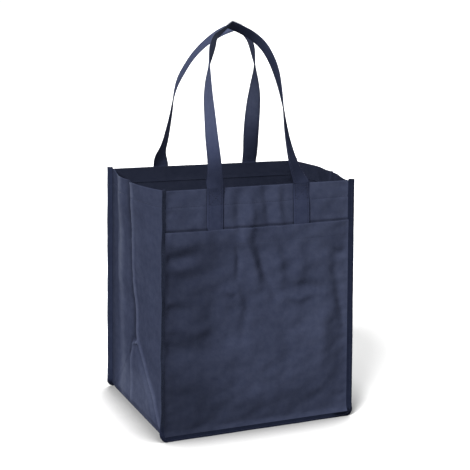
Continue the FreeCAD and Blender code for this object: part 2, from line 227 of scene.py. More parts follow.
# Each fold of the front: width, height, and its route from its upper end, for panel_place().
FRONT_RIDGES = [
    (9, 4.2, [(0.37, 0.17), (0.425, 0.235), (0.46, 0.315), (0.49, 0.40)]),
    (10, 3.4, [(0.555, 0.21), (0.60, 0.30), (0.61, 0.40)]),
    (7, 2.8, [(0.30, 0.40), (0.365, 0.42), (0.405, 0.475)]),
    (15, 3.6, [(0.66, 0.22), (0.72, 0.30), (0.70, 0.41)]),
    (7, 1.8, [(0.63, 0.455), (0.72, 0.47), (0.82, 0.45)]),
    (8, 2.8, [(0.60, 0.02), (0.605, 0.10), (0.62, 0.18)]),
    (9, 2.6, [(0.445, 0.03), (0.455, 0.10), (0.45, 0.18)]),
    (9, 2.0, [(0.20, 0.04), (0.19, 0.15), (0.24, 0.26)]),
    (20, 3.2, [(0.30, 0.62), (0.44, 0.68), (0.52, 0.76)]),
    (22, 3.4, [(0.86, 0.52), (0.84, 0.64), (0.88, 0.74)]),
    (8, 1.6, [(0.03, 0.225), (0.14, 0.215)]),
    (8, 1.6, [(0.03, 0.305), (0.13, 0.295)]),
    (11, 2.4, [(0.03, 0.545), (0.12, 0.56), (0.24, 0.56)]),
]
FRONT_FURROWS = [
    (9, -4.6, [(0.47, 0.19), (0.505, 0.275), (0.535, 0.36), (0.585, 0.44)]),
    (6, -2.6, [(0.375, 0.22), (0.385, 0.28), (0.378, 0.36)]),
    (8, -2.8, [(0.53, 0.01), (0.545, 0.09), (0.555, 0.17)]),
    (9, -3.0, [(0.385, 0.03), (0.39, 0.11), (0.38, 0.19)]),
    (9, -2.8, [(-0.02, 0.262), (0.07, 0.27), (0.15, 0.258)]),
    (10, -2.4, [(0.03, 0.356), (0.13, 0.352), (0.22, 0.325), (0.31, 0.31)]),
    (9, -2.8, [(-0.02, 0.465), (0.06, 0.476), (0.13, 0.468)]),
    (14, -3.8, [(0.0, 0.62), (0.11, 0.64), (0.22, 0.635)]),
    (9, -2.6, [(0.88, 0.27), (0.95, 0.30), (1.02, 0.30)]),
    (10, -4.2, [(0.925, 0.36), (0.95, 0.44), (0.962, 0.51), (0.99, 0.60)]),
    (8, -1.8, [(0.64, 0.42), (0.74, 0.415), (0.84, 0.43)]),
    (9, -1.8, [(0.43, 0.44), (0.42, 0.52), (0.40, 0.60)]),
    (18, -2.6, [(0.25, 0.42), (0.23, 0.52), (0.27, 0.60)]),
    (12, -1.8, [(0.60, 0.55), (0.66, 0.64), (0.64, 0.74)]),
]
# The lowest part of the front turns in under a slack belly, along this smile.
BELLY = [(-0.02, 0.67), (0.10, 0.76), (0.22, 0.83), (0.36, 0.865), (0.52, 0.86), (0.68, 0.83),
         (0.82, 0.79), (0.92, 0.76), (1.02, 0.70)]


def edge_fade(x, z):
    """Nought at a panel's bound edges, one in its middle."""
    return smooth((HALF - np.abs(x)) / (9 * mm)) * smooth(z / (9 * mm))


def bulge(x, z):
    """One in the middle of a panel, nought at its edges."""
    return np.sin(np.pi * np.clip(z / RIM, 0, 1)) * np.cos(np.pi * x / WIDTH)


def front_relief(x, z):
    """How far the front stands out from flat."""
    total = folds(FRONT_RIDGES, x, z) + folds(FRONT_FURROWS, x, z)
    total += belly(x, z, 10 * mm)
    total += 2.0 * mm * bulge(x, z)
    total += ripples(x, z, 3, 45 * mm, 150 * mm, 1.3 * mm)
    total += ripples(x, z, 4, 18 * mm, 44 * mm, 0.6 * mm)
    total += puckers(x, z)
    return total * edge_fade(x, z) - 0.35 * mm * bell(z - HEM_LINE, GROOVE)


def below_belly(x, z):
    """How far below the line of the belly a place is."""
    line = np.array([panel_place(*spot) for spot in BELLY])
    return np.interp(x, line[:, 0], line[:, 1]) - z


def belly(x, z, most):
    """Slack cloth that hangs out to a line above the base and turns in below it."""
    line = below_belly(x, z) + z
    size = np.minimum(0.17 * line, most) * smooth((HALF - np.abs(x)) / (55 * mm))
    rise, fall = z / line, 1 - 0.9 * (z - line) / (RIM - line)
    blend = 0.16
    return -size * blend * np.logaddexp(-rise / blend, -fall / blend)


def puckers(x, z):
    """Short folds that the bound side seams gather."""
    reach = np.exp(-(HALF - np.abs(x)) / (11 * mm))
    hand = np.where(x < 0, 1.0, 2.3)
    return 0.55 * mm * reach * np.sin(2 * np.pi * z / (17 * mm) + 2.2 * np.sin(z / (31 * mm)) + hand)


def back_relief(x, z):
    """How far the back stands out from flat; x is from the left as seen from the front."""
    routes = [
        (12, 2.0, [(0.30, 0.22), (0.36, 0.36), (0.34, 0.50)]),
        (8, -2.0, [(0.58, 0.20), (0.61, 0.34), (0.68, 0.46)]),
        (10, 1.6, [(0.70, 0.30), (0.66, 0.42), (0.52, 0.50)]),
        (9, -1.8, [(0.04, 0.42), (0.14, 0.44), (0.24, 0.40)]),
        (8, -1.6, [(0.97, 0.36), (0.86, 0.40), (0.78, 0.38)]),
        (12, -1.6, [(0.20, 0.60), (0.40, 0.66), (0.60, 0.62)]),
    ]
    total = folds(routes, x, z)
    total += belly(-x, z, 8 * mm)
    total += 2.5 * mm * bulge(x, z) + ripples(x, z, 7, 45 * mm, 150 * mm, 0.8 * mm) + puckers(x, z + 9 * mm)
    return total * edge_fade(x, z) - 0.35 * mm * bell(z - HEM_LINE, GROOVE)


APEX_Z = 0.47 * DEPTH  # where the pressed base folds meet the gusset's middle fold
# The middle fold: height, and place across from -0.5 at the front to 0.5 at the back.
CREASE = [(0.0, -0.06), (APEX_Z, -0.055), (0.48 * RIM, -0.045), (0.58 * RIM, -0.03), (0.75 * RIM, -0.05),
          (0.89 * RIM, -0.09), (1.1 * RIM, -0.12)]
APEX = (CREASE[1][1] * DEPTH, APEX_Z)
FOOT_CREASE = [APEX, (0.05 * DEPTH, 0.93 * APEX_Z), (0.075 * DEPTH, 0.78 * APEX_Z), (0.075 * DEPTH, 0.0)]
FORK = [APEX, (-0.48 * DEPTH, 8 * mm)]
BACK_FORK = [FOOT_CREASE[1], (0.48 * DEPTH, 8 * mm)]


def crease_at(z):
    """Where the gusset's middle fold is, across, as for CREASE."""
    heights, places = zip(*CREASE)
    return np.interp(z, heights, places)


def soft_ridge_at(z):
    """Where the round fold behind the middle fold is, across, as for CREASE."""
    return 0.28 - 0.10 * smooth((z - 0.5 * RIM) / (0.5 * RIM))


def gusset_relief(hand, y, z):
    """How far a gusset stands out from flat: a pressed middle fold that forks above the base."""
    back = y / DEPTH  # -0.5 at the front, 0.5 at the back
    upper = smooth((z - 0.5 * APEX_Z) / (1.6 * APEX_Z))
    depth = 1.0 if hand == "left" else 0.45
    behind = back - crease_at(z)
    total = 2.6 * mm * depth * upper * bell(back - soft_ridge_at(z), 0.075)
    total -= 4.0 * mm * depth * upper * bell(behind - 0.09, 0.06)
    total += 1.5 * mm * smooth(z / (2 * APEX_Z)) * bell(back + 0.25, 0.14)
    total -= 1.2 * mm * upper * bell(back - 0.41, 0.05)
    middle = [(place * DEPTH, height) for height, place in CREASE[1:]]
    total += ridge(middle, 2.8 * mm, 2.6 * mm, y, z, ends=0.4)
    for line, height in ((FOOT_CREASE, 2.2), (FORK, 3.2), (BACK_FORK, 1.2)):
        total += ridge(line, 2.6 * mm, height * mm, y, z, ends=0.3)
    inside_fork = smooth((APEX_Z * (1 - 2 * np.abs(y) / DEPTH) - z) / (25 * mm))
    total += 3.0 * mm * inside_fork
    seed = 11 if hand == "left" else 13
    long_waves = ripples(y, z, seed, 35 * mm, 120 * mm, 1.1 * mm)
    total += long_waves + ripples(y, z, seed + 1, 14 * mm, 36 * mm, 0.3 * mm)
    to_seam = DEPTH / 2 - np.abs(y)
    fade = smooth(to_seam / (9 * mm)) * smooth((z - 4 * mm) / (14 * mm))
    gather = np.exp(-to_seam / (9 * mm)) * np.sin(2 * np.pi * z / (15 * mm) + 3 * np.sin(z / (41 * mm)))
    total += 0.4 * mm * gather
    return total * fade - 0.3 * mm * bell(z - HEM_LINE, GROOVE)


def gusset_painted_light(y, z):
    """Painted light along the crests of the folds and painted shade in their furrows and towards the back
    seam, with a little random unevenness.
    """
    back = y / DEPTH
    behind = back - crease_at(z)
    above = smooth((z - APEX_Z) / (0.05 * APEX_Z))
    foot_crease, in_front, _ = along(FOOT_CREASE, y, z)
    fork, inside, _ = along(FORK, y, z)
    tone = np.ones(np.shape(y))
    tone += 0.75 * above * bell(behind, 0.013)
    tone -= 0.40 * above * bell(behind - 0.075, 0.05)
    soft_ridge = 0.55 + 0.55 * smooth((z - 150 * mm) / (120 * mm))
    tone += soft_ridge * bell(back - soft_ridge_at(z), 0.06)
    tone += 0.25 * bell(back + 0.12, 0.05) * smooth((z - 200 * mm) / (60 * mm))
    tone += 0.45 * smooth((0.8 * APEX_Z - z) / (50 * mm)) * smooth((0.42 - np.abs(back)) / 0.2)
    tone += 0.48 * bell(foot_crease, 2.2 * mm)
    high = smooth((z - 0.4 * APEX_Z) / (30 * mm))
    tone -= 0.3 * high * (in_front > 0) * (1 - above) * bell(foot_crease - 9 * mm, 6 * mm)
    tone += 0.5 * bell(fork, 2.1 * mm)
    tone -= 0.4 * (inside > 0) * bell(fork - 6 * mm, 3 * mm)
    tone *= 1 - 0.5 * np.exp(-(0.5 - back) / 0.06)
    return tone + ripples(y, z, 23, 30 * mm, 90 * mm, 0.05)


def pocket_gap(x, z):
    """How far the pocket stands off the front panel; it stands wider over the strap tails."""
    edge = smooth((z - POCKET_EDGE + 60 * mm) / (60 * mm))
    tails = bell(np.abs(x) - LEG, 19 * mm)
    slack = 0.9 * mm + edge ** 2 * (2.8 * mm + 0.9 * mm * tails + 0.7 * mm * np.sin(x / (21 * mm) + 1))
    return slack * (0.35 + 0.65 * smooth((HALF - np.abs(x)) / (10 * mm)))


# ---------- places on the cloth

def on_panel(side, x, z, out=0.0):
    """A place on a panel's outer face, or that far out from it, in the settled bag."""
    x, z = np.broadcast_arrays(np.asarray(x, float), np.asarray(z, float))
    relief = front_relief(x, z) if side == "front" else back_relief(x, z)
    stand = relief + out
    y = FRONT - stand if side == "front" else BACK + stand
    return settle(np.stack([x.ravel(), y.ravel(), z.ravel()], axis=1)).reshape(x.shape + (3,))


def on_gusset(hand, y, z, out=0.0):
    """A place on a gusset's outer face, or that far out from it, in the settled bag."""
    y, z = np.broadcast_arrays(np.asarray(y, float), np.asarray(z, float))
    stand = HALF + gusset_relief(hand, y, z) + out
    x = -stand if hand == "left" else stand
    return settle(np.stack([x.ravel(), y.ravel(), z.ravel()], axis=1)).reshape(y.shape + (3,))


# ---------- materials

def new_material(name, gloss):
    """A new node material, its tree and its shader."""
    material = bpy.data.materials.new(name)
    material.use_nodes = True
    tree = material.node_tree
    shader = tree.nodes["Principled BSDF"]
    shader.inputs["Specular IOR Level"].default_value = gloss
    return material, tree, shader


def math_node(tree, operation, first, second):
    """The output of a sum of two values, each a number or a socket."""
    node = tree.nodes.new("ShaderNodeMath")
    node.operation = operation
    for socket, value in zip(node.inputs, (first, second)):
        if isinstance(value, (int, float)):
            socket.default_value = value
        else:
            tree.links.new(value, socket)
    return node.outputs[0]


def noise(tree, vector, scale, detail, roughness=0.55):
    """Smooth noise from nought to one over a vector."""
    node = tree.nodes.new("ShaderNodeTexNoise")
    node.inputs["Scale"].default_value = scale
    node.inputs["Detail"].default_value = detail
    node.inputs["Roughness"].default_value = roughness
    tree.links.new(vector, node.inputs["Vector"])
    return node.outputs["Fac"]


def scaled(tree, vector, scale, turn):
    """A vector that is stretched, and turned about Z."""
    node = tree.nodes.new("ShaderNodeMapping")
    node.inputs["Scale"].default_value = scale
    node.inputs["Rotation"].default_value = (0, 0, turn)
    tree.links.new(vector, node.inputs["Vector"])
    return node.outputs["Vector"]


def ramp(tree, value, stops):
    """A colour or a grey for each value, from stops of a place and a colour."""
    node = tree.nodes.new("ShaderNodeValToRGB")
    elements = node.color_ramp.elements
    while len(elements) < len(stops):
        elements.new(0.5)
    for element, (place, colour) in zip(elements, stops):
        element.position = place
        element.color = (*colour, 1) if len(colour) == 3 else (colour[0],) * 3 + (1,)
    tree.links.new(value, node.inputs["Fac"])
    return node.outputs["Color"]


DOT_PITCH = 1.5 * mm  # the bonding dots that are pressed into the cloth


def bump(tree, shader, height, strength, distance):
    """Makes a height stand out from the surface by shading."""
    node = tree.nodes.new("ShaderNodeBump")
    node.inputs["Strength"].default_value = strength
    node.inputs["Distance"].default_value = distance
    tree.links.new(height, node.inputs["Height"])
    tree.links.new(node.outputs["Normal"], shader.inputs["Normal"])


def nonwoven(name, dark, light, roughness, dots=1.0):
    """Spunbond cloth: cloudy fibres with a diagonal grid of small pressed dots."""
    material, tree, shader = new_material(name, gloss=0.0)
    uv = tree.nodes.new("ShaderNodeUVMap")
    uv.uv_map = "cloth"
    flat = uv.outputs["UV"]
    grid = tree.nodes.new("ShaderNodeTexVoronoi")
    grid.inputs["Scale"].default_value = 1.0
    grid.inputs["Randomness"].default_value = 0.0
    slanted = scaled(tree, flat, (1 / DOT_PITCH, 1 / DOT_PITCH, 1), math.radians(45))
    tree.links.new(slanted, grid.inputs["Vector"])
    dot = ramp(tree, grid.outputs["Distance"], [(0.24, (1.0,)), (0.38, (0.0,))])
    fibres = noise(tree, scaled(tree, flat, (1400, 420, 1), 0.4), 1.0, 4.0, 0.65)
    cross_fibres = noise(tree, scaled(tree, flat, (380, 1500, 1), -0.3), 1.0, 4.0, 0.65)
    clouds = noise(tree, flat, 95.0, 5.0, 0.6)
    strand = math_node(tree, "MULTIPLY", math_node(tree, "ADD", fibres, cross_fibres), 0.5)
    tone = math_node(tree, "ADD", math_node(tree, "MULTIPLY", clouds, 0.55),
                     math_node(tree, "MULTIPLY", strand, 0.45))
    tone = math_node(tree, "SUBTRACT", tone, math_node(tree, "MULTIPLY", dot, 0.10 * dots))
    colour = ramp(tree, tone, [(0.30, dark), (0.68, light)])
    # the tone attribute carries painted light and shade, and a little random unevenness of the dye
    tone_and_painted_light = tree.nodes.new("ShaderNodeAttribute")
    tone_and_painted_light.attribute_name = "tone"
    mix = tree.nodes.new("ShaderNodeMix")
    mix.data_type = "RGBA"
    mix.blend_type = "MULTIPLY"
    mix.inputs["Factor"].default_value = 1.0
    tree.links.new(colour, mix.inputs["A"])
    tree.links.new(tone_and_painted_light.outputs["Color"], mix.inputs["B"])
    tree.links.new(mix.outputs["Result"], shader.inputs["Base Color"])
    rough = ramp(tree, dot, [(0.0, (roughness,)), (1.0, (roughness - 0.16 * dots,))])
    tree.links.new(rough, shader.inputs["Roughness"])
    height = math_node(tree, "SUBTRACT", math_node(tree, "MULTIPLY", strand, 0.7),
                       math_node(tree, "MULTIPLY", dot, 0.8 * dots))
    bump(tree, shader, height, 0.55, 0.12 * mm)
    return material


def thread_material():
    """Twisted polyester thread, with a faint gloss."""
    material, tree, shader = new_material("navy_thread", gloss=0.08)
    place = tree.nodes.new("ShaderNodeTexCoord").outputs["Object"]
    twist = tree.nodes.new("ShaderNodeTexWave")
    twist.bands_direction = "DIAGONAL"
    twist.inputs["Scale"].default_value = 900.0
    tree.links.new(place, twist.inputs["Vector"])
    dark, light = (0.0035, 0.0048, 0.0110), (0.0080, 0.0100, 0.0200)
    tree.links.new(ramp(tree, twist.outputs["Fac"], [(0.0, dark), (1.0, light)]), shader.inputs["Base Color"])
    bump(tree, shader, twist.outputs["Fac"], 0.4, 0.05 * mm)
    shader.inputs["Roughness"].default_value = 0.6
    return material


def board_material():
    """Dark pressed plastic sheet with a fine grain and scuffs."""
    material, tree, shader = new_material("board_plastic", gloss=0.12)
    place = tree.nodes.new("ShaderNodeTexCoord").outputs["Object"]
    grain = noise(tree, place, 900.0, 4.0)
    scuffs = noise(tree, scaled(tree, place, (30, 9, 9), 0.5), 1.0, 6.0, 0.7)
    dark, light = (0.006, 0.0075, 0.013), (0.014, 0.016, 0.025)
    tree.links.new(ramp(tree, scuffs, [(0.35, dark), (0.75, light)]), shader.inputs["Base Color"])
    tree.links.new(ramp(tree, scuffs, [(0.3, (0.85,)), (0.8, (0.65,))]), shader.inputs["Roughness"])
    bump(tree, shader, grain, 0.35, 0.1 * mm)
    return material


MATERIALS = {
    "bag_cloth": nonwoven("navy_nonwoven", (0.0095, 0.0116, 0.0215), (0.0152, 0.0178, 0.0300), 0.75),
    "binding_tape": nonwoven("navy_tape", (0.0042, 0.0054, 0.0115), (0.0070, 0.0088, 0.0170), 0.75, 0.6),
    "strap_cloth": nonwoven("navy_strap", (0.0098, 0.0121, 0.0240), (0.0155, 0.0186, 0.0335), 0.70),
    "thread": thread_material(),
    "base_board": board_material(),
}

# ---------- meshes


SHARP = math.radians(72)  # a sheet's cut edges are sharper than this, its folds aren't


def new_piece(name, points, faces, slot, body, nodes, uv=None, tone=None):
    """A mesh piece that stands for CAD nodes; it rides on a body, when one is given."""
    mesh = bpy.data.meshes.new(name)
    mesh.from_pydata([tuple(p) for p in points], [], [tuple(f) for f in faces])
    mesh.validate()
    mesh.materials.append(MATERIALS[slot])
    corners = np.zeros(len(mesh.loops), np.int32)
    mesh.loops.foreach_get("vertex_index", corners)
    if uv is not None:
        layer = mesh.uv_layers.new(name="cloth")
        layer.data.foreach_set("uv", np.asarray(uv, np.float32)[corners].ravel())
    shade = mesh.attributes.new("tone", "FLOAT_COLOR", "POINT")
    values = np.ones(len(points)) if tone is None else np.asarray(tone, float)
    paler = np.maximum(values - 1, 0)  # painted highlights turn greyer as they get paler, like a sheen
    red, blue = values * (1 + 0.04 * paler), values * (1 - 0.14 * paler)
    colours = np.stack([red, values, blue, np.ones(len(values))], axis=1)
    shade.data.foreach_set("color", colours.astype(np.float32).ravel())
    mesh.shade_smooth()
    mesh.set_sharp_from_angle(angle=SHARP)
    piece = bpy.data.objects.new(name, mesh)
    bpy.context.scene.collection.objects.link(piece)
    if body:
        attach(piece, body)
    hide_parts(*nodes)
    return piece


def grid_faces(rows, columns, closed=False):
    """Quads over a grid of points; closed joins the last column to the first."""
    faces = []
    for i in range(rows - 1):
        for j in range(columns if closed else columns - 1):
            k = (j + 1) % columns
            faces.append((i * columns + j, i * columns + k, (i + 1) * columns + k, (i + 1) * columns + j))
    return faces


def tube_faces(rows, columns):
    """Quads round a closed section that runs along a line, and the line's two ends."""
    ends = [tuple(range(columns))[::-1], tuple((rows - 1) * columns + i for i in range(columns))]
    return grid_faces(rows, columns, closed=True) + ends


def shell(outer, inner):
    """A closed thin sheet between two grids of the same size, as points and faces."""
    rows, columns = outer.shape[:2]
    points = np.concatenate([outer.reshape(-1, 3), inner.reshape(-1, 3)])
    count = rows * columns
    faces = grid_faces(rows, columns)
    faces += [tuple(count + i for i in face[::-1]) for face in grid_faces(rows, columns)]
    ring = list(range(columns))
    ring += [i * columns + columns - 1 for i in range(1, rows)]
    ring += [(rows - 1) * columns + j for j in range(columns - 2, -1, -1)]
    ring += [i * columns for i in range(rows - 2, 0, -1)]
    for a, b in zip(ring, ring[1:] + ring[:1]):
        faces.append((b, a, a + count, b + count))
    return points, faces


def unit(vectors):
    """Each vector at a length of one."""
    return vectors / np.maximum(np.linalg.norm(vectors, axis=-1, keepdims=True), 1e-12)


def square_to(vectors, tangents):
    """The part of each vector that is square to its tangent, at a length of one."""
    return unit(vectors - tangents * (vectors * tangents).sum(1, keepdims=True))


def length_along(line):
    """How far along a line each of its points is."""
    return np.concatenate([[0], np.cumsum(np.linalg.norm(np.diff(line, axis=0), axis=1))])


def flat_uv(across, walked):
    """Places on the flat cloth, for a grid of rows a distance along and columns across."""
    return np.stack(np.meshgrid(across, walked), axis=2)


def grid_normals(grid):
    """The direction off each point of a grid, from its neighbours."""
    return unit(np.cross(np.gradient(grid, axis=1), np.gradient(grid, axis=0)))


def spaced(start, stop, pitch=PITCH):
    """Places from start to stop, about a pitch apart."""
    return np.linspace(start, stop, max(2, int(abs(stop - start) / pitch) + 2))


EDGE_TURN = 0.6 * mm  # radius of a folded edge


def hemmed_column(top, foot, hem, press=0.1 * mm):
    """Heights up a sheet, over its folded edge and down its hem, with how far in and along each is."""
    heights = list(spaced(foot, top - EDGE_TURN))
    inwards = [0.0] * len(heights)
    for angle in (40, 90, 140):
        heights.append(top - EDGE_TURN + EDGE_TURN * math.sin(math.radians(angle)))
        inwards.append(EDGE_TURN - EDGE_TURN * math.cos(math.radians(angle)))
    for height in spaced(top - EDGE_TURN, top - hem):
        heights.append(height)
        inwards.append(2 * EDGE_TURN - press * (top - height) / hem)
    heights, inwards = np.array(heights), np.array(inwards)
    return heights, inwards, length_along(np.stack([heights, inwards], axis=1))


INSIDE_PAINTED_SHADE = 0.55  # the inner face of each sheet is painted deeper: painted shade inside the bag


def folded_tone(tone, inwards):
    """The inner face's painted shade where a hem is folded over to the inside."""
    return np.where(inwards > EDGE_TURN, INSIDE_PAINTED_SHADE, tone)


def sheet_piece(name, node, grid, uv, tone):
    """A sheet of the bag's cloth with real thickness, grown from a grid towards its back."""
    inner = grid - grid_normals(grid) * CLOTH
    points, faces = shell(grid, inner)
    uv = np.concatenate([uv.reshape(-1, 2)] * 2)
    # the inner face gets painted shade
    tone = np.concatenate([tone.ravel(), np.full(tone.size, INSIDE_PAINTED_SHADE)])
    piece = new_piece(name, points, faces, "bag_cloth", "bag", [node], uv, tone)


def panel_painted_shading(x, z):
    """Painted shade towards the foot and, below the pocket's edge, towards the left, painted light to the
    right, and a little random unevenness of the dye.
    """
    foot = smooth((below_belly(x, z) + 22 * mm) / (44 * mm))
    left = smooth((-x / WIDTH - 0.08) / 0.30)
    under_band = smooth((POCKET_EDGE - z) / (30 * mm))
    right = smooth((x / WIDTH - 0.1) / 0.3)
    patches = ripples(x, z, 21, 40 * mm, 110 * mm, 0.055)
    return (1 - 0.15 * foot) * (1 - 0.36 * left * under_band + 0.13 * right) + patches


def outlined(tone, side, x, z):
    """A panel lies in shade along the edges of what is sewn onto it."""
    for hand in ("left", "right"):
        middle = TAIL_MIDDLE[side, hand]
        edge = np.abs(x - middle) - STRAP / 2 - 0.7 * mm
        tone = tone * (1 - 0.42 * bell(edge, 1.5 * mm) * smooth((z - TAIL[0][2]) / (3 * mm)))
    if side == "front":
        tone = tone * (1 - 0.5 * bell(z - POCKET_EDGE - 1.2 * mm, 2.2 * mm))
    return tone


def make_panel(side):
    """The front or the back, with its hem folded to the inside."""
    press = 0.1 * mm if side == "front" else 0.5 * mm
    heights, inwards, walked = hemmed_column(RIM, 0.0, HEM, press=press)
    across = spaced(-HALF, HALF) if side == "front" else spaced(HALF, -HALF)
    x, z = np.meshgrid(across, heights)
    grid = on_panel(side, x, z, -inwards[:, None])
    uv = flat_uv(across, walked)
    # painted shade and light of the panel, with painted shade along the tails and the pocket's edge
    tone = folded_tone(outlined(panel_painted_shading(x, z), side, x, z), inwards[:, None])
    sheet_piece(f"{side}_panel_cloth", f"{side}_panel", grid, uv, tone)


def make_pocket():
    """The pocket over the front, which stands off the panel most at its edge."""
    hem = POCKET_EDGE - POCKET_HEM_LINE + 1.5 * mm
    foot = 1.5 * mm
    heights, inwards, walked = hemmed_column(POCKET_EDGE, foot, hem)
    across = spaced(-HALF + 0.4 * mm, HALF - 0.4 * mm)
    x, z = np.meshgrid(across, heights)
    groove = 0.16 * mm * bell(z - POCKET_HEM_LINE, 1.5 * mm)
    out = pocket_gap(x, z) + CLOTH + 0.5 * mm - groove - inwards[:, None]
    grid = on_panel("front", x, z, out)
    uv = flat_uv(across + 0.7, walked)
    # painted shade and light, as on the front panel
    tone = folded_tone(panel_painted_shading(x, z), inwards[:, None])
    sheet_piece("front_pocket_cloth", "front_pocket", grid, uv, tone)


BASE_TOP = CLOTH + 0.1 * mm  # the base cloth lies on the floor and is taut under the board
BASE_TURN = 5 * mm  # radius where the strip turns from a gusset into the base


def base_row(x, y_row, z):
    """A row of the strip from front to back, in the settled bag."""
    return settle(np.stack([np.full_like(y_row, x), y_row, np.full_like(y_row, z)], axis=1))


def make_gusset():
    """One strip: down the left side, across the base and up the right side."""
    heights, inwards, _ = hemmed_column(RIM, BASE_TURN, HEM)
    heights, inwards = heights[::-1], inwards[::-1]
    y_row = spaced(FRONT, BACK)

    def side_rows(hand):
        """From the end of the hem, over the rim and down to the base."""
        rows = [on_gusset(hand, y_row, z, -inward) for z, inward in zip(heights, inwards)]
        for angle in np.radians((20, 40, 60, 80)):
            x = HALF - BASE_TURN + BASE_TURN * math.cos(angle)
            z = BASE_TURN - BASE_TURN * math.sin(angle) + CLOTH
            rows.append(base_row(x if hand == "right" else -x, y_row, z))
        return rows

    base = [base_row(x, y_row, BASE_TOP) for x in spaced(-HALF + BASE_TURN, HALF - BASE_TURN, 2 * PITCH)]
    grid = np.array(side_rows("left") + base + side_rows("right")[::-1])
    walked = length_along(grid[:, grid.shape[1] // 2])
    hemmed = np.zeros(len(grid))
    hemmed[:len(inwards)], hemmed[-len(inwards):] = inwards, inwards[::-1]
    up = np.clip(grid[:, :, 2], 0, None)
    across = y_row * np.ones_like(up)
    on_side = smooth((np.abs(grid[:, :, 0]) - 0.9 * HALF) / (4 * mm))
    # painted light and shade of the gusset's folds, on its sides only
    tone = folded_tone(1 + (gusset_painted_light(across, up) - 1) * on_side, hemmed[:, None])
    uv = flat_uv(y_row + 1.4, walked)
    sheet_piece("gusset_cloth", "gusset_strip", grid, uv, tone)


# ---------- bound seams

FIN = 9.2 * mm  # how far a bound seam stands out
FIN_RISE = 2.4 * mm  # the tape's cut ends stand above the rim
FIN_TURN = 9 * mm  # radius of the seam at the bottom corners
TAPE_STITCH = 5.2 * mm  # how far out along the fin its stitches run


def seam_route(side):
    """Places down a panel's left seam, along its foot and up its right seam, with the fin's direction."""
    left = [(-HALF, z, -1.0, 0.0) for z in spaced(RIM + FIN_RISE, FIN_TURN, 3 * mm)]
    for angle in np.radians(np.linspace(0, 90, 6)[1:-1]):
        cos, sin = math.cos(angle), math.sin(angle)
        left.append((-HALF + FIN_TURN * (1 - cos), FIN_TURN * (1 - sin), -cos, -sin))
    foot = [(x, 0.0, 0.0, -1.0) for x in spaced(-HALF + FIN_TURN, HALF - FIN_TURN, 3 * mm)]
    right = [(-x, z, -to_side, down) for x, z, to_side, down in reversed(left)]
    route = left + foot + right
    centres, fins = [], []
    walked = 0.0
    for i, (x, z, to_side, down) in enumerate(route):
        if i:
            walked += math.hypot(x - route[i - 1][0], z - route[i - 1][1])
        sway = 0.12 * math.sin(walked / (23 * mm)) + 0.08 * math.sin(walked / (9 * mm) + 1)
        ahead = 0.72 + sway if abs(down) < 0.5 else 0.62 + 0.5 * sway
        centres.append(settle([(x, FRONT if side == "front" else BACK, z)])[0])
        fins.append(np.array([to_side, 0, down]) + OUTWARDS[side] * ahead)
    return np.array(centres), unit(np.array(fins))


def tape_painted_shading(side, grid):
    """Painted light on the tape up the front's left seam, painted shade on the one up its right seam and
    along the foot.
    """
    left = smooth(-grid[:, :, 0] / HALF * 10 - 7.5) * smooth((grid[:, :, 2] - 12 * mm) / (20 * mm))
    right = smooth(grid[:, :, 0] / HALF * 10 - 7.5)
    foot = smooth((14 * mm - grid[:, :, 2]) / (8 * mm))
    if side == "front":
        return 1 + 1.0 * left - 0.35 * right - 0.5 * foot * (1 - left)
    return 1 + 0.1 * left - 0.4 * foot


def make_binding(side):
    """Folded tape: thick and round at its folded edge, thinner where it is pressed at the seam."""
    centres, fins = seam_route(side)
    tangents = unit(np.gradient(centres, axis=0))
    fins = square_to(fins, tangents)
    normals = np.cross(tangents, fins)
    # The tape's section: how far out along the fin, and half the thickness there, both in mm.
    section = [(-0.6, 0.9), (2.2, 1.05), (4.6, 0.75), (5.7, 0.72), (7.4, 0.95), (8.6, 0.8), (9.2, 0.3)]
    section += [(reach, -half) for reach, half in reversed(section)]
    walked = length_along(centres)
    ripple = 1 + 0.10 * np.sin(walked / (2.6 * mm)) + 0.12 * np.sin(walked / (11 * mm) + 2)
    grid = np.stack([
        centres + fins * reach * mm + normals * (half * mm * ripple)[:, None]
        for reach, half in section
    ], axis=1)
    grid[:, :, 2] = np.maximum(grid[:, :, 2], 0.15 * mm)
    rows, columns = grid.shape[:2]
    uv = flat_uv(np.linspace(0, 2 * FIN, columns), walked)
    # the tape's painted light and shade go in as its tone
    new_piece(f"{side}_binding_tape", grid.reshape(-1, 3), tube_faces(rows, columns), "binding_tape", "bag",
              [f"{side}_edge_binding"], uv.reshape(-1, 2), tape_painted_shading(side, grid).ravel())
    seam = centres + fins * TAPE_STITCH
    stitches = stitch_rows([
        (seam + normals * 0.80 * mm, normals),
        (seam - normals * 0.80 * mm, -normals),
    ])
    add_threads(f"{side}_binding_stitches", stitches, "bag", f"{side}_binding_thread")


# ---------- stitches

STITCH = 3.1 * mm
STITCH_GAP = 0.9 * mm
THREAD = 0.26 * mm  # radius
RINGS, ROUND = 5, 6  # rings along a stitch, and points round each


